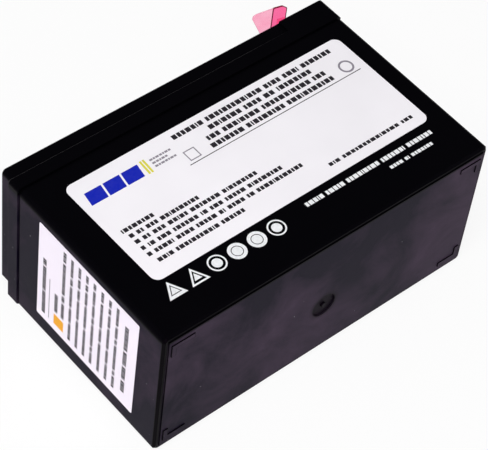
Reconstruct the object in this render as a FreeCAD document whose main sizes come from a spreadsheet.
import FreeCAD, Part
import os
import Sketcher

# Sealed lead-acid battery block for an uninterruptible power supply, 12 V, six cells.
# Every piece is drawn with the block standing on its base: X along the length, Y across the
# thickness with the labelled face at -Y, Z up to the terminals, zero at the middle of the base.
# The last step lays the block on its broad back face, which is how it rests.
# Sizes are in millimetres and degrees.

SIZES = [
    # container
    ("case_length", 151.0, "along X"),
    ("case_depth", 64.4, "between the broad faces"),
    ("case_height", 80.2, "base to the shoulder under the lid joint"),
    ("case_wall", 2.2, "outer walls"),
    ("case_floor", 2.6, "floor of the cells"),
    ("partition", 1.4, "walls between the cells"),
    ("case_corner", 2.2, "radius of the upright corners"),
    ("base_edge", 0.9, "chamfer round the base"),
    ("panel_height", 0.4, "flat panel standing off the base"),
    ("panel_inset", 2.2, "panel to the outer faces"),
    ("gate_radius", 5.2, "round dimple at the moulding gate"),
    ("gate_depth", 0.7, "dimple at the moulding gate"),
    ("gate_stub", 1.1, "radius of the gate's stub in the dimple"),
    ("gate_along", 0.7, "gate from the middle, along X"),
    ("gate_across", 5.3, "gate from the middle, along Y"),
    ("foot_height", 0.4, "corner feet below the base panel"),
    ("foot_long", 10.0, "long arm of a corner foot, along X"),
    ("foot_short", 6.0, "short arm of a corner foot, along Y"),
    ("foot_width", 2.0, "width of a foot's arms"),
    ("foot_inset_x", 3.3, "foot to the end face"),
    ("foot_inset_y", 4.6, "foot to the broad face"),
    ("tongue_inset", 1.0, "outer face of the wall to the tongue"),
    ("window_radius", 1.6, "hole in a partition for the cell link"),
    # lid
    ("joint_gap", 1.2, "open groove between shoulder and skirt"),
    ("groove_depth", 2.4, "how far the tongue enters the lid"),
    ("groove_clearance", 0.15, "tongue to groove, each side"),
    ("lid_proud", 0.3, "skirt outside the container"),
    ("lid_corner", 1.6, "radius of the skirt's upright corners"),
    ("skirt_height", 5.6, "skirt's lower edge to the ledge"),
    ("skirt_edge", 0.3, "chamfer along the ledge"),
    ("plateau_height", 6.0, "ledge to the top of the lid"),
    ("plateau_front", 0.7, "ledge width at the labelled face"),
    ("plateau_end", 1.2, "ledge width at the ends"),
    ("plateau_back", 4.0, "ledge width at the back"),
    ("plateau_corner", 2.0, "radius of the plateau's upright corners"),
    ("plateau_edge", 0.5, "chamfer along the plateau's top edge"),
    ("block_length", 21.6, "flush corner block at the positive end, along X"),
    ("block_depth", 23.0, "flush corner block, along Y"),
    ("headspace", 3.0, "pocket in the lid over each cell"),
    ("lip", 1.0, "lid wall between groove and pocket"),
    # vents
    ("cover_end", 6.2, "vent cover plate to the end of the container"),
    ("cover_width", 22.6, "vent cover plate"),
    ("cover_thickness", 1.5, "vent cover plate"),
    ("cover_edge", 0.3, "radius along the plate's top edge"),
    ("cover_clearance", 0.2, "plate to its recess"),
    ("cover_ledge", 1.4, "ledge that carries the plate"),
    ("vent_y", 6.0, "row of vents, behind the middle"),
    ("neck_radius", 3.4, "outside of a vent neck"),
    ("neck_height", 3.4, "vent neck above the recess floor"),
    ("neck_bore", 1.25, "radius of the vent hole"),
    ("valve_wall", 1.0, "rubber valve cap, skirt"),
    ("valve_top", 1.0, "rubber valve cap, disc"),
    ("valve_lift", 0.5, "valve skirt above the recess floor"),
    ("valve_clearance", 0.1, "valve cap to neck"),
    # terminals
    ("terminal_end", 13.5, "tab blade to the end of the container"),
    ("terminal_front", 12.4, "tab to the labelled face"),
    ("tab_width", 6.35, "blade width"),
    ("tab_thickness", 0.8, "blade and foot"),
    ("tab_height", 6.0, "blade above the top of the lid"),
    ("tab_chamfer", 1.0, "corners of the blade's tip"),
    ("tab_hole", 0.9, "radius of the hole in the blade"),
    ("tab_hole_down", 3.2, "hole below the tip"),
    ("tab_foot", 6.6, "foot that is soldered to the pole"),
    ("pole_offset", 3.0, "pole from the blade, towards the middle"),
    ("pole_radius", 2.5, "lead pole"),
    ("pole_clearance", 0.25, "pole to its hole in the lid"),
    ("spigot_radius", 1.45, "end of the pole that fills the foot's hole"),
    ("spigot_clearance", 0.05, "spigot to the hole in the foot"),
    ("well_length", 16.0, "terminal well, along X"),
    ("well_width", 16.0, "terminal well, along Y"),
    ("well_depth", 3.0, "terminal well"),
    ("pot_radius", 5.5, "round pot for the epoxy seal"),
    ("pot_depth", 3.4, "pot below the well's floor"),
    ("seal_clearance", 0.05, "seal to the pot"),
    ("foot_under", 1.0, "foot above the bottom of the pot"),
    # terminal cap
    ("cap_lean", 13.4, "lean of the cap towards the far end, degrees"),
    ("cap_rise", 7.86, "lid top to the cap's outer face, along the lean"),
    ("head_left", 4.55, "cap head, left of the blade"),
    ("head_width", 6.3, "cap head, across the blade"),
    ("head_front", 9.4, "cap head, in front of the blade"),
    ("head_length", 15.0, "cap head, along the blade"),
    ("head_thickness", 1.6, "cap head"),
    ("head_chamfer", 3.1, "front outer corner of the cap head"),
    ("ear_length", 8.85, "pull ear, out from the head"),
    ("ear_thickness", 0.6, "pull ear"),
    ("ear_drop", 0.7, "how far the ear's front edge falls back"),
    ("ear_taper", 5.9, "how far the ear's end slants in"),
    ("ear_end", 1.8, "short outer edge of the ear"),
    ("ear_slant", 0.18, "slant of the ear's outer edge"),
    ("sleeve_wall", 0.7, "sleeve on the blade"),
    ("sleeve_room", 2.6, "inside of the sleeve, across the blade"),
    ("sleeve_right", 0.5, "inside of the sleeve, right of the blade's foot"),
    ("sleeve_side", 0.3, "inside of the sleeve to the blade's edges"),
    ("sleeve_lift", 0.6, "sleeve above the lid"),
    # cells
    ("plate_down", 11.6, "shoulder of the container down to the plates"),
    ("positive_plate", 2.0, "thickness"),
    ("negative_plate", 1.4, "thickness"),
    ("stack_clearance", 0.4, "plate stack to the partitions, in all"),
    ("fold_clearance", 0.2, "folds of the mat to the walls"),
    ("fold_gap", 0.1, "edge of a plate to the fold of the mat"),
    ("mat_over", 1.0, "mat above the plates"),
    ("lug_width", 7.0, "lugs of the plates"),
    ("lug_height", 3.4, "plate to strap"),
    ("strap_width", 9.0, "straps, along Y"),
    ("strap_height", 3.0, "straps"),
    ("strap_clearance", 0.6, "strap to the partitions"),
    ("link_thickness", 2.0, "upright of a cell link"),
    ("link_width", 8.0, "upright of a cell link"),
    ("link_height", 4.9, "upright of a cell link"),
    ("link_clearance", 0.05, "link's pin to the hole in the partition"),
    # labels
    ("label_thickness", 0.15, "both labels"),
    ("label_width", 129.1, "face label"),
    ("label_height", 51.8, "face label"),
    ("label_left", 13.1, "face label to the end of the container"),
    ("label_low", 21.6, "face label above the base"),
    ("label_turn", 0.45, "slant of the face label, degrees"),
    ("label_corner", 3.2, "radius of the face label's corners"),
    ("end_label_width", 50.9, "end label, along Y"),
    ("end_label_height", 55.9, "end label"),
    ("end_label_front", 4.8, "end label to the labelled face"),
    ("end_label_low", 12.9, "end label above the base"),
    ("end_label_turn", 0.65, "slant of the end label, degrees"),
    ("end_label_corner", 0.6, "radius of the end label's corners"),
]

CELL_COUNT = 6
POSITIVE_COUNT = 4
NEGATIVE_COUNT = POSITIVE_COUNT + 1

doc = FreeCAD.newDocument("BatteryBlock")
sheet = doc.addObject("Spreadsheet::Sheet", "Sizes")
for row, (alias, value, note) in enumerate(SIZES, 1):
    sheet.set(f"A{row}", alias)
    sheet.set(f"B{row}", str(value))
    sheet.setAlias(f"B{row}", alias)
    sheet.set(f"C{row}", note)
doc.recompute()

# Places that several pieces share, as formulas on the sheet.
HALF_X = "(Sizes.case_length / 2)"
HALF_Y = "(Sizes.case_depth / 2)"
SKIRT_BOTTOM = "(Sizes.case_height + Sizes.joint_gap)"
TONGUE_TOP = f"({SKIRT_BOTTOM} + Sizes.groove_depth)"
LEDGE = f"({SKIRT_BOTTOM} + Sizes.skirt_height)"
LID_TOP = f"({LEDGE} + Sizes.plateau_height)"
INNER_Y = "(Sizes.case_depth / 2 - Sizes.case_wall)"
ALL_CELLS = f"(Sizes.case_length - 2 * Sizes.case_wall - {CELL_COUNT - 1} * Sizes.partition)"
CELL_WIDTH = f"({ALL_CELLS} / {CELL_COUNT})"
CELL_PITCH = f"({CELL_WIDTH} + Sizes.partition)"
FIRST_CELL = f"(-{(CELL_COUNT - 1) / 2} * {CELL_PITCH})"

MAT = (f"(({CELL_WIDTH} - Sizes.stack_clearance - {POSITIVE_COUNT} * Sizes.positive_plate"
       f" - {NEGATIVE_COUNT} * Sizes.negative_plate) / {2 * POSITIVE_COUNT})")
PLATE_PITCH = f"(Sizes.positive_plate + Sizes.negative_plate + 2 * {MAT})"
MAT_EDGE = f"({INNER_Y} - Sizes.fold_clearance)"
PLATE_EDGE = f"({MAT_EDGE} - {MAT} - Sizes.fold_gap)"
PLATE_TOP = "(Sizes.case_height - Sizes.plate_down)"
STRAP_BOTTOM = f"({PLATE_TOP} + Sizes.lug_height)"
STRAP_TOP = f"({STRAP_BOTTOM} + Sizes.strap_height)"
LINK_AXIS = f"({STRAP_TOP} + Sizes.link_height / 2)"

COVER_HALF = f"({HALF_X} - Sizes.cover_end)"
COVER_BOTTOM = f"({LID_TOP} - Sizes.cover_thickness)"
NECK_TOP = f"({LEDGE} + Sizes.neck_height)"
WELL_FLOOR = f"({LID_TOP} - Sizes.well_depth)"
POT_FLOOR = f"({WELL_FLOOR} - Sizes.pot_depth)"
FOOT_BOTTOM = f"({POT_FLOOR} + Sizes.foot_under)"
TERMINAL_X = f"({HALF_X} - Sizes.terminal_end)"
TERMINAL_Y = f"({HALF_Y} - Sizes.terminal_front)"
POLE_X = f"({TERMINAL_X} - Sizes.pole_offset)"


def size(formula):
    return float(sheet.evalExpression(formula))


def cell_x(index):
    return f"({index - (CELL_COUNT - 1) / 2} * {CELL_PITCH})"


def partition_x(index):
    return f"({index - (CELL_COUNT - 2) / 2} * {CELL_PITCH})"


# Helpers for PartDesign bodies.

def new_body(label):
    body = doc.addObject("PartDesign::Body", label)
    body.Label = label
    return body


def new_sketch(body, plane, height="0"):
    """Sketch on one of the body's own planes, moved along the plane's normal."""
    origin_plane = next(item for item in body.Origin.OriginFeatures if item.Role == plane)
    sketch = body.newObject("Sketcher::SketchObject", "Sketch")
    sketch.AttachmentSupport = (origin_plane, [""])
    sketch.MapMode = "FlatFace"
    sketch.setExpression("AttachmentOffset.Base.z", height)
    return sketch


def hold(sketch, kind, formula, geometry, point=None):
    """Bind one dimension of the sketch to a formula."""
    if point is None:
        number = sketch.addConstraint(Sketcher.Constraint(kind, geometry, size(formula)))
    else:
        number = sketch.addConstraint(Sketcher.Constraint(kind, -1, 1, geometry, point, size(formula)))
    name = f"{kind}{number}"
    sketch.renameConstraint(number, name)
    sketch.setExpression(f"Constraints.{name}", formula)


def add_outline(sketch, corners):
    """Closed outline through corners, each a pair of formulas."""
    points = [FreeCAD.Vector(size(across), size(up), 0) for across, up in corners]
    first = sketch.GeometryCount
    count = len(corners)
    for index, point in enumerate(points):
        sketch.addGeometry(Part.LineSegment(point, points[(index + 1) % count]))
    for index, (across, up) in enumerate(corners):
        following = first + (index + 1) % count
        sketch.addConstraint(Sketcher.Constraint("Coincident", first + index, 2, following, 1))
        hold(sketch, "DistanceX", across, first + index, 1)
        hold(sketch, "DistanceY", up, first + index, 1)


def add_rectangle(sketch, left, right, low, high):
    add_outline(sketch, [(left, low), (right, low), (right, high), (left, high)])


def add_circle(sketch, across, up, radius):
    centre = FreeCAD.Vector(size(across), size(up), 0)
    number = sketch.addGeometry(Part.Circle(centre, FreeCAD.Vector(0, 0, 1), size(radius)))
    hold(sketch, "DistanceX", across, number, 3)
    hold(sketch, "DistanceY", up, number, 3)
    hold(sketch, "Radius", radius, number)


def add_feature(body, kind, sketch, length, reverse=False):
    """Pad or pocket by a length; reverse turns it against its usual side."""
    feature = body.newObject(f"PartDesign::{kind}", kind)
    feature.Profile = sketch
    feature.setExpression("Length", length)
    feature.Reversed = reverse
    return feature


def pad_rectangle(body, bottom, height, left, right, low, high):
    sketch = new_sketch(body, "XY_Plane", bottom)
    add_rectangle(sketch, left, right, low, high)
    return add_feature(body, "Pad", sketch, height)


def pocket_rectangle(body, top, depth, left, right, low, high):
    sketch = new_sketch(body, "XY_Plane", top)
    add_rectangle(sketch, left, right, low, high)
    return add_feature(body, "Pocket", sketch, depth)


def pad_circle(body, bottom, height, across, up, radius):
    sketch = new_sketch(body, "XY_Plane", bottom)
    add_circle(sketch, across, up, radius)
    return add_feature(body, "Pad", sketch, height)


def pocket_circle(body, top, depth, across, up, radius):
    sketch = new_sketch(body, "XY_Plane", top)
    add_circle(sketch, across, up, radius)
    return add_feature(body, "Pocket", sketch, depth)


def repeat(body, feature, axis, pitch, count):
    """Row of copies of the body's last feature along an axis of that feature's sketch."""
    pattern = body.newObject("PartDesign::LinearPattern", "Row")
    pattern.Originals = [feature]
    pattern.Direction = (feature.Profile[0], [axis])
    pattern.setExpression("Length", f"{count - 1} * {pitch}")
    pattern.Occurrences = count
    body.Tip = pattern
    return pattern


def dress(body, kind, radius, chosen):
    """Fillet or chamfer the edges of the body so far that chosen picks."""
    doc.recompute()
    base = body.Tip
    names = [f"Edge{number}" for number, edge in enumerate(base.Shape.Edges, 1) if chosen(edge)]
    feature = body.newObject(f"PartDesign::{kind}", kind)
    feature.Base = (base, names)
    feature.setExpression("Radius" if kind == "Fillet" else "Size", radius)
    return feature


def upright(edge):
    box = edge.BoundBox
    return box.ZLength > 10 * max(box.XLength, box.YLength)


def beyond(edge, along, across):
    """True for an edge whose middle is farther out than both distances."""
    middle = edge.BoundBox.Center
    return abs(middle.x) >= size(along) and abs(middle.y) >= size(across)


def at_height(formula):
    height = size(formula)
    return lambda edge: abs(edge.BoundBox.ZMin - height) < 1e-4 and edge.BoundBox.ZLength < 1e-4


# The container and the lid.

def make_container():
    """One moulding: base with corner feet, six cells, and a tongue round the rim."""
    body = new_body("container")
    pad_rectangle(body, "0", "Sizes.case_height", f"-{HALF_X}", HALF_X, f"-{HALF_Y}", HALF_Y)
    dress(body, "Fillet", "Sizes.case_corner", upright)
    dress(body, "Chamfer", "Sizes.base_edge", at_height("0"))

    panel_x = f"({HALF_X} - Sizes.panel_inset)"
    panel_y = f"({HALF_Y} - Sizes.panel_inset)"
    pad_rectangle(body, "-Sizes.panel_height", "Sizes.panel_height + Sizes.base_edge",
                  f"-{panel_x}", panel_x, f"-{panel_y}", panel_y)
    add_gate(body)
    pad_rectangle(body, "Sizes.case_height", f"{TONGUE_TOP} - Sizes.case_height",
                  f"-{HALF_X} + Sizes.tongue_inset", f"{HALF_X} - Sizes.tongue_inset",
                  f"-{HALF_Y} + Sizes.tongue_inset", f"{HALF_Y} - Sizes.tongue_inset")

    cell = pocket_rectangle(body, TONGUE_TOP, f"{TONGUE_TOP} - Sizes.case_floor",
                            f"{FIRST_CELL} - {CELL_WIDTH} / 2", f"{FIRST_CELL} + {CELL_WIDTH} / 2",
                            f"-{INNER_Y}", INNER_Y)
    repeat(body, cell, "H_Axis", CELL_PITCH, CELL_COUNT)

    for index in range(CELL_COUNT - 1):
        sketch = new_sketch(body, "YZ_Plane", f"{partition_x(index)} + Sizes.partition")
        add_circle(sketch, link_y(index), LINK_AXIS, "Sizes.window_radius")
        add_feature(body, "Pocket", sketch, "2 * Sizes.partition")

    for side_x in (-1, 1):
        for side_y in (-1, 1):
            add_foot(body, side_x, side_y)
    return body


def add_gate(body):
    """Round dimple in the base panel with the stub that the moulding gate leaves."""
    sketch = new_sketch(body, "XY_Plane", "-Sizes.panel_height")
    for radius in ("Sizes.gate_radius", "Sizes.gate_stub"):
        add_circle(sketch, "Sizes.gate_along", "Sizes.gate_across", radius)
    add_feature(body, "Pocket", sketch, "Sizes.gate_depth", reverse=True)


def add_foot(body, side_x, side_y):
    """L-shaped foot whose corner points to the corner of the base."""
    outer_x = f"{side_x} * ({HALF_X} - Sizes.foot_inset_x"
    outer_y = f"{side_y} * ({HALF_Y} - Sizes.foot_inset_y"
    corners = [(f"{outer_x})", f"{outer_y})"),
               (f"{outer_x} - Sizes.foot_long)", f"{outer_y})"),
               (f"{outer_x} - Sizes.foot_long)", f"{outer_y} - Sizes.foot_width)"),
               (f"{outer_x} - Sizes.foot_width)", f"{outer_y} - Sizes.foot_width)"),
               (f"{outer_x} - Sizes.foot_width)", f"{outer_y} - Sizes.foot_short)"),
               (f"{outer_x})", f"{outer_y} - Sizes.foot_short)")]
    sketch = new_sketch(body, "XY_Plane", "-Sizes.panel_height - Sizes.foot_height")
    add_outline(sketch, corners)
    add_feature(body, "Pad", sketch, "Sizes.foot_height + Sizes.panel_height")


def make_lid():
    """One moulding: skirt, raised plateau, flush corner block, vents, terminal wells and grooves."""
    body = new_body("lid")
    end = f"({HALF_X} + Sizes.lid_proud)"
    side = f"({HALF_Y} + Sizes.lid_proud)"
    pad_rectangle(body, SKIRT_BOTTOM, "Sizes.skirt_height", f"-{end}", end, f"-{side}", side)
    pad_rectangle(body, SKIRT_BOTTOM, f"{LID_TOP} - {SKIRT_BOTTOM}",
                  f"{HALF_X} - Sizes.block_length", end, f"-{side}", f"-{HALF_Y} + Sizes.block_depth")
    dress(body, "Fillet", "Sizes.lid_corner",
          lambda edge: upright(edge) and beyond(edge, HALF_X, HALF_Y))
    dress(body, "Chamfer", "Sizes.skirt_edge",
          lambda edge: at_height(LEDGE)(edge) and (beyond(edge, HALF_X, "0") or beyond(edge, "0", HALF_Y)))

    pad_rectangle(body, f"{LEDGE} - 2 * Sizes.skirt_edge", f"{LID_TOP} - {LEDGE} + 2 * Sizes.skirt_edge",
                  f"-{HALF_X} + Sizes.plateau_end", f"{HALF_X} - Sizes.plateau_end",
                  f"-{HALF_Y} + Sizes.plateau_front", f"{HALF_Y} - Sizes.plateau_back")
    dress(body, "Fillet", "Sizes.plateau_corner",
          lambda edge: upright(edge) and not beyond(edge, HALF_X, "0")
          and beyond(edge, f"{HALF_X} - 1.1 * Sizes.plateau_end", f"{HALF_Y} - 1.1 * Sizes.plateau_back"))
    dress(body, "Chamfer", "Sizes.plateau_edge", at_height(LID_TOP))

    add_vents(body)
    for pole_side in (-1, 1):
        add_terminal_well(body, pole_side)
    add_grooves(body)
    return body


def add_vents(body):
    """Recess with a ledge for the cover plate, and a neck over each cell."""
    for top, depth, room in ((LID_TOP, "Sizes.cover_thickness", "Sizes.cover_clearance"),
                             (COVER_BOTTOM, f"{COVER_BOTTOM} - {LEDGE}", "-Sizes.cover_ledge")):
        pocket_rectangle(body, top, depth,
                         f"-{COVER_HALF} - {room}", f"{COVER_HALF} + {room}",
                         f"Sizes.vent_y - Sizes.cover_width / 2 - {room}",
                         f"Sizes.vent_y + Sizes.cover_width / 2 + {room}")
    neck = pad_circle(body, LEDGE, "Sizes.neck_height", FIRST_CELL, "Sizes.vent_y", "Sizes.neck_radius")
    repeat(body, neck, "H_Axis", CELL_PITCH, CELL_COUNT)
    bore = pocket_circle(body, NECK_TOP, f"{NECK_TOP} - {SKIRT_BOTTOM}", FIRST_CELL, "Sizes.vent_y",
                         "Sizes.neck_bore")
    repeat(body, bore, "H_Axis", CELL_PITCH, CELL_COUNT)


def add_terminal_well(body, side):
    """Square well, round pot for the seal and hole for the pole."""
    pole = f"{side} * {POLE_X}"
    pocket_rectangle(body, LID_TOP, "Sizes.well_depth",
                     f"{pole} - Sizes.well_length / 2", f"{pole} + Sizes.well_length / 2",
                     f"-{TERMINAL_Y} - Sizes.well_width / 2", f"-{TERMINAL_Y} + Sizes.well_width / 2")
    pocket_circle(body, WELL_FLOOR, "Sizes.pot_depth", pole, f"-{TERMINAL_Y}", "Sizes.pot_radius")
    pocket_circle(body, POT_FLOOR, f"{POT_FLOOR} - {SKIRT_BOTTOM}", pole, f"-{TERMINAL_Y}",
                  "Sizes.pole_radius + Sizes.pole_clearance")


def add_grooves(body):
    """Underside: grooves for the tongue and the partitions, and a pocket over each cell."""
    room = "Sizes.groove_clearance"
    ring = new_sketch(body, "XY_Plane", SKIRT_BOTTOM)
    outer = f"Sizes.tongue_inset - {room}"
    inner = f"Sizes.case_wall + {room}"
    for inset in (outer, inner):
        add_rectangle(ring, f"-{HALF_X} + {inset}", f"{HALF_X} - ({inset})",
                      f"-{HALF_Y} + {inset}", f"{HALF_Y} - ({inset})")
    add_feature(body, "Pocket", ring, "Sizes.groove_depth", reverse=True)

    first = partition_x(0)
    slot = new_sketch(body, "XY_Plane", SKIRT_BOTTOM)
    add_rectangle(slot, f"{first} - Sizes.partition / 2 - {room}", f"{first} + Sizes.partition / 2 + {room}",
                  f"-{INNER_Y}", INNER_Y)
    slot_pocket = add_feature(body, "Pocket", slot, "Sizes.groove_depth", reverse=True)
    repeat(body, slot_pocket, "H_Axis", CELL_PITCH, CELL_COUNT - 1)

    edge = f"({room} + Sizes.lip)"
    space = new_sketch(body, "XY_Plane", SKIRT_BOTTOM)
    half = f"({CELL_WIDTH} / 2 - {edge})"
    add_rectangle(space, f"{FIRST_CELL} - {half}", f"{FIRST_CELL} + {half}",
                  f"-{INNER_Y} + {edge}", f"{INNER_Y} - {edge}")
    space_pocket = add_feature(body, "Pocket", space, "Sizes.headspace", reverse=True)
    repeat(body, space_pocket, "H_Axis", CELL_PITCH, CELL_COUNT)


# Vents.

def make_vent_cover():
    """Plate that is welded into the recess over the valves."""
    body = new_body("vent_cover")
    pad_rectangle(body, COVER_BOTTOM, "Sizes.cover_thickness",
                  f"-{COVER_HALF}", COVER_HALF,
                  "Sizes.vent_y - Sizes.cover_width / 2", "Sizes.vent_y + Sizes.cover_width / 2")
    dress(body, "Fillet", "Sizes.cover_edge", at_height(LID_TOP))
    return body


def make_valve(index):
    """Rubber cap valve, turned about its neck."""
    body = new_body(f"relief_valve_{index + 1}")
    sketch = new_sketch(body, "XZ_Plane", "-Sizes.vent_y")
    sketch.setExpression("AttachmentOffset.Base.x", cell_x(index))
    bore = "(Sizes.neck_radius + Sizes.valve_clearance)"
    add_outline(sketch, [("0", NECK_TOP),
                         (bore, NECK_TOP),
                         (bore, f"{LEDGE} + Sizes.valve_lift"),
                         (f"{bore} + Sizes.valve_wall", f"{LEDGE} + Sizes.valve_lift"),
                         (f"{bore} + Sizes.valve_wall", f"{NECK_TOP} + Sizes.valve_top"),
                         ("0", f"{NECK_TOP} + Sizes.valve_top")])
    turned = body.newObject("PartDesign::Revolution", "Revolution")
    turned.Profile = sketch
    turned.ReferenceAxis = (sketch, ["V_Axis"])
    turned.Angle = 360
    return body


# Terminals.

def make_pole(name, side):
    """Lead pole cast on the end strap, with a spigot for the tab's foot."""
    body = new_body(f"{name}_pole")
    place = (f"{side} * {POLE_X}", f"-{TERMINAL_Y}")
    pad_circle(body, STRAP_TOP, f"{FOOT_BOTTOM} - {STRAP_TOP}", *place, "Sizes.pole_radius")
    pad_circle(body, FOOT_BOTTOM, "Sizes.tab_thickness", *place, "Sizes.spigot_radius")
    return body


def foot_span(side):
    """Left and right end of the tab's foot, which runs from the blade to past the pole."""
    outer = f"{side} * ({TERMINAL_X} + Sizes.tab_thickness / 2)"
    inner = f"{side} * ({TERMINAL_X} + Sizes.tab_thickness / 2 - Sizes.tab_foot)"
    return (outer, inner) if side < 0 else (inner, outer)


def make_tab(name, side):
    """Push-on tab: blade with a chamfered tip and a hole, and a foot with a hole for the spigot."""
    body = new_body(f"{name}_tab")
    half = "(Sizes.tab_width / 2)"
    tip = f"({LID_TOP} + Sizes.tab_height)"
    blade = new_sketch(body, "YZ_Plane", f"{side} * {TERMINAL_X} - Sizes.tab_thickness / 2")
    add_outline(blade, [(f"-{TERMINAL_Y} - {half}", FOOT_BOTTOM),
                        (f"-{TERMINAL_Y} + {half}", FOOT_BOTTOM),
                        (f"-{TERMINAL_Y} + {half}", f"{tip} - Sizes.tab_chamfer"),
                        (f"-{TERMINAL_Y} + {half} - Sizes.tab_chamfer", tip),
                        (f"-{TERMINAL_Y} - {half} + Sizes.tab_chamfer", tip),
                        (f"-{TERMINAL_Y} - {half}", f"{tip} - Sizes.tab_chamfer")])
    add_circle(blade, f"-{TERMINAL_Y}", f"{tip} - Sizes.tab_hole_down", "Sizes.tab_hole")
    add_feature(body, "Pad", blade, "Sizes.tab_thickness")

    left, right = foot_span(side)
    pad_rectangle(body, FOOT_BOTTOM, "Sizes.tab_thickness", left, right,
                  f"-{TERMINAL_Y} - {half}", f"-{TERMINAL_Y} + {half}")
    pocket_circle(body, f"{FOOT_BOTTOM} + Sizes.tab_thickness", "Sizes.tab_thickness",
                  f"{side} * {POLE_X}", f"-{TERMINAL_Y}", "Sizes.spigot_radius + Sizes.spigot_clearance")
    return body


def make_seal(name, side):
    """Epoxy that fills the pot round the pole, the foot and the root of the blade."""
    body = new_body(f"{name}_seal")
    pole = (f"{side} * {POLE_X}", f"-{TERMINAL_Y}")
    half = "(Sizes.tab_width / 2)"
    blade = f"{side} * {TERMINAL_X}"
    foot_top = f"({FOOT_BOTTOM} + Sizes.tab_thickness)"
    pad_circle(body, POT_FLOOR, "Sizes.pot_depth", *pole, "Sizes.pot_radius - Sizes.seal_clearance")
    pocket_circle(body, FOOT_BOTTOM, "Sizes.foot_under", *pole, "Sizes.pole_radius")
    left, right = foot_span(side)
    pocket_rectangle(body, foot_top, "Sizes.tab_thickness", left, right,
                     f"-{TERMINAL_Y} - {half}", f"-{TERMINAL_Y} + {half}")
    pocket_rectangle(body, WELL_FLOOR, f"{WELL_FLOOR} - {foot_top}",
                     f"{blade} - Sizes.tab_thickness / 2", f"{blade} + Sizes.tab_thickness / 2",
                     f"-{TERMINAL_Y} - {half}", f"-{TERMINAL_Y} + {half}")
    return body


def make_terminal_cap():
    """Soft translucent cap: chamfered head, thin pull ear and a sleeve on the blade.

    Drawn about the foot of the positive blade, with Z along the leaning cap."""
    body = new_body("terminal_cap")
    left = "(-Sizes.head_left)"
    right = "(Sizes.head_width - Sizes.head_left)"
    front = "(-Sizes.head_front)"
    back = "(Sizes.head_length - Sizes.head_front)"
    head = new_sketch(body, "XY_Plane", "Sizes.cap_rise - Sizes.head_thickness")
    add_outline(head, [(left, front),
                       (f"{right} - Sizes.head_chamfer", front),
                       (right, f"{front} + Sizes.head_chamfer"),
                       (right, back),
                       (left, back)])
    add_feature(body, "Pad", head, "Sizes.head_thickness")

    tip = f"({left} - Sizes.ear_length)"
    ear = new_sketch(body, "XY_Plane", "Sizes.cap_rise - Sizes.ear_thickness")
    add_outline(ear, [(left, front),
                      (left, back),
                      (f"{tip} + Sizes.ear_taper", back),
                      (tip, f"{front} + Sizes.ear_drop + Sizes.ear_end"),
                      (f"{tip} + Sizes.ear_slant", f"{front} + Sizes.ear_drop")])
    add_feature(body, "Pad", ear, "Sizes.ear_thickness")

    inner_left = "(Sizes.sleeve_right - Sizes.sleeve_room)"
    inner_half = "(Sizes.tab_width / 2 + Sizes.sleeve_side)"
    wall = "Sizes.sleeve_wall"
    inside_top = "(Sizes.cap_rise - Sizes.head_thickness)"
    pad_rectangle(body, "Sizes.sleeve_lift", f"{inside_top} - Sizes.sleeve_lift",
                  f"{inner_left} - {wall}", f"Sizes.sleeve_right + {wall}",
                  f"-{inner_half} - {wall}", f"{inner_half} + {wall}")
    pocket_rectangle(body, inside_top, f"{inside_top} - Sizes.sleeve_lift",
                     inner_left, "Sizes.sleeve_right", f"-{inner_half}", inner_half)
    return body


# Cells.

def strap_side(index, polarity):
    """Side of the block for a cell's strap: -1 at the labelled face, 1 at the back.

    The cells are turned about, so that each strap faces the next cell's opposite strap."""
    front = "negative" if index % 2 == 0 else "positive"
    return -1 if polarity == front else 1


def link_y(index):
    """Place of the link between a cell and the next one."""
    return f"({strap_side(index, 'positive')} * {TERMINAL_Y})"


def make_plate_group(index, polarity):
    """Plates of one polarity in one cell, with their lugs burned to a strap."""
    body = new_body(f"cell_{index + 1}_{polarity}_plates")
    count = POSITIVE_COUNT if polarity == "positive" else NEGATIVE_COUNT
    thickness = f"Sizes.{polarity}_plate"
    lug = f"({strap_side(index, polarity)} * {TERMINAL_Y})"
    first = f"({cell_x(index)} - {(count - 1) / 2} * {PLATE_PITCH} - {thickness} / 2)"
    sketch = new_sketch(body, "YZ_Plane", first)
    add_outline(sketch, [(f"-{PLATE_EDGE}", "Sizes.case_floor"),
                         (PLATE_EDGE, "Sizes.case_floor"),
                         (PLATE_EDGE, PLATE_TOP),
                         (f"{lug} + Sizes.lug_width / 2", PLATE_TOP),
                         (f"{lug} + Sizes.lug_width / 2", STRAP_BOTTOM),
                         (f"{lug} - Sizes.lug_width / 2", STRAP_BOTTOM),
                         (f"{lug} - Sizes.lug_width / 2", PLATE_TOP),
                         (f"-{PLATE_EDGE}", PLATE_TOP)])
    plate = add_feature(body, "Pad", sketch, thickness)
    repeat(body, plate, "N_Axis", PLATE_PITCH, count)
    reach = f"({CELL_WIDTH} / 2 - Sizes.strap_clearance)"
    pad_rectangle(body, STRAP_BOTTOM, "Sizes.strap_height",
                  f"{cell_x(index)} - {reach}", f"{cell_x(index)} + {reach}",
                  f"{lug} - Sizes.strap_width / 2", f"{lug} + Sizes.strap_width / 2")
    return body


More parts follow.
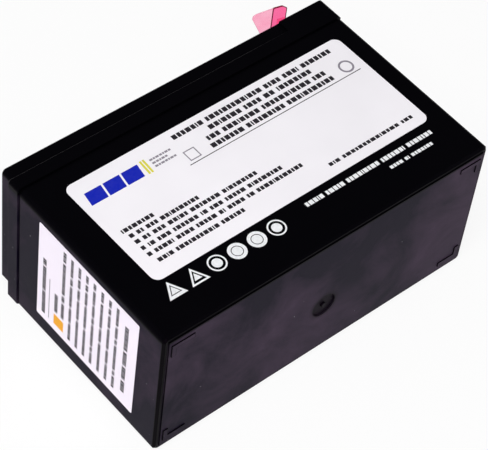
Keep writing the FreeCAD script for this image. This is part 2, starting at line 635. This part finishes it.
def make_mat(index):
    """Glass mat folded zigzag: positive plates go in from the front, inner negatives from the back."""
    body = new_body(f"cell_{index + 1}_glass_mat")
    middle = cell_x(index)
    fold = f"({PLATE_EDGE} + Sizes.fold_gap)"
    mat_top = f"({PLATE_TOP} + Sizes.mat_over)"
    reach = f"({(NEGATIVE_COUNT - 1) / 2} * {PLATE_PITCH} - Sizes.negative_plate / 2)"
    pad_rectangle(body, "Sizes.case_floor", f"{mat_top} - Sizes.case_floor",
                  f"{middle} - {reach}", f"{middle} + {reach}", f"-{MAT_EDGE}", MAT_EDGE)
    for count, thickness, low, high in (
            (POSITIVE_COUNT, "Sizes.positive_plate", f"-{MAT_EDGE}", fold),
            (NEGATIVE_COUNT - 2, "Sizes.negative_plate", f"-{fold}", MAT_EDGE)):
        first = f"({middle} - {(count - 1) / 2} * {PLATE_PITCH})"
        slot = pocket_rectangle(body, mat_top, f"{mat_top} - Sizes.case_floor",
                                f"{first} - {thickness} / 2", f"{first} + {thickness} / 2", low, high)
        repeat(body, slot, "H_Axis", PLATE_PITCH, count)
    return body


def make_link(index):
    """Two uprights on neighbouring straps, welded together through the partition."""
    body = new_body(f"cell_link_{index + 1}")
    middle = partition_x(index)
    near = "(Sizes.partition / 2 + Sizes.strap_clearance)"
    far = f"({near} + Sizes.link_thickness)"
    across = link_y(index)
    pin = new_sketch(body, "YZ_Plane", f"{middle} - {far}")
    add_circle(pin, across, LINK_AXIS, "Sizes.window_radius - Sizes.link_clearance")
    add_feature(body, "Pad", pin, f"2 * {far}")
    for left, right in ((f"-{far}", f"-{near}"), (near, far)):
        pad_rectangle(body, STRAP_TOP, "Sizes.link_height", f"{middle} + {left}", f"{middle} + {right}",
                      f"{across} - Sizes.link_width / 2", f"{across} + Sizes.link_width / 2")
    return body


# Labels.

def slant(sketch, across, up, turn):
    """Move a label's sketch to the label's middle and turn it a little."""
    turned = FreeCAD.Rotation(size(turn), 0, 0)
    sketch.AttachmentOffset = FreeCAD.Placement(sketch.AttachmentOffset.Base, turned)
    sketch.setExpression("AttachmentOffset.Base.x", across)
    sketch.setExpression("AttachmentOffset.Base.y", up)
    sketch.setExpression("AttachmentOffset.Rotation.Angle", turn)


def make_face_label():
    """Large label on the broad face, stuck on a little askew."""
    body = new_body("face_label")
    sketch = new_sketch(body, "XZ_Plane", HALF_Y)
    slant(sketch, f"-{HALF_X} + Sizes.label_left + Sizes.label_width / 2",
          "Sizes.label_low + Sizes.label_height / 2", "Sizes.label_turn")
    add_rectangle(sketch, "-Sizes.label_width / 2", "Sizes.label_width / 2",
                  "-Sizes.label_height / 2", "Sizes.label_height / 2")
    add_feature(body, "Pad", sketch, "Sizes.label_thickness")
    thin = size("2 * Sizes.label_thickness")
    dress(body, "Fillet", "Sizes.label_corner", lambda edge: edge.Length < thin)
    return body


def make_end_label():
    """Label on the end face, near the negative terminal."""
    body = new_body("end_label")
    sketch = new_sketch(body, "YZ_Plane", f"-{HALF_X}")
    slant(sketch, f"-{HALF_Y} + Sizes.end_label_front + Sizes.end_label_width / 2",
          "Sizes.end_label_low + Sizes.end_label_height / 2", "Sizes.end_label_turn")
    add_rectangle(sketch, "-Sizes.end_label_width / 2", "Sizes.end_label_width / 2",
                  "-Sizes.end_label_height / 2", "Sizes.end_label_height / 2")
    add_feature(body, "Pad", sketch, "Sizes.label_thickness", reverse=True)
    thin = size("2 * Sizes.label_thickness")
    dress(body, "Fillet", "Sizes.end_label_corner", lambda edge: edge.Length < thin)
    return body


# Build.

bodies = [make_container(), make_lid(), make_vent_cover()]
bodies += [make_valve(index) for index in range(CELL_COUNT)]
for terminal, terminal_side in (("negative", -1), ("positive", 1)):
    bodies += [make_pole(terminal, terminal_side), make_tab(terminal, terminal_side),
               make_seal(terminal, terminal_side)]
for cell in range(CELL_COUNT):
    bodies += [make_plate_group(cell, "positive"), make_plate_group(cell, "negative"), make_mat(cell)]
bodies += [make_link(index) for index in range(CELL_COUNT - 1)]
bodies += [make_face_label(), make_end_label()]
cap = make_terminal_cap()
bodies.append(cap)

# The cap leans on the positive blade.
cap.Placement = FreeCAD.Placement(
    FreeCAD.Vector(size(TERMINAL_X), size(f"-{TERMINAL_Y}"), size(LID_TOP)),
    FreeCAD.Rotation(FreeCAD.Vector(0, 1, 0), size("Sizes.cap_lean")))
doc.recompute()

# Lay the block on its back, with the lid's skirt at the ground and the origin under the middle.
top = cap.Shape.BoundBox.ZMax
bottom = size("-Sizes.panel_height - Sizes.foot_height")
lying = FreeCAD.Placement(
    FreeCAD.Vector(0, -(top + bottom) / 2, size(f"{HALF_Y} + Sizes.lid_proud")),
    FreeCAD.Rotation(FreeCAD.Vector(1, 0, 0), -90))
for body in bodies:
    body.Placement = lying * body.Placement
doc.recompute()

failed = [item.Name for item in doc.Objects if {"Invalid", "Error"} & set(item.State)]
failed += [body.Label for body in bodies if body.Shape.isNull() or not body.Shape.isValid()]
if failed:
    raise RuntimeError(f"not built: {failed}")

os.makedirs("parts", exist_ok=True)
for body in bodies:
    body.Shape.exportStep(f"parts/{body.Label}.step")
    print(f"{body.Label}: {len(body.Shape.Solids)} solid, {body.Shape.Volume / 1000:.2f} cm3")
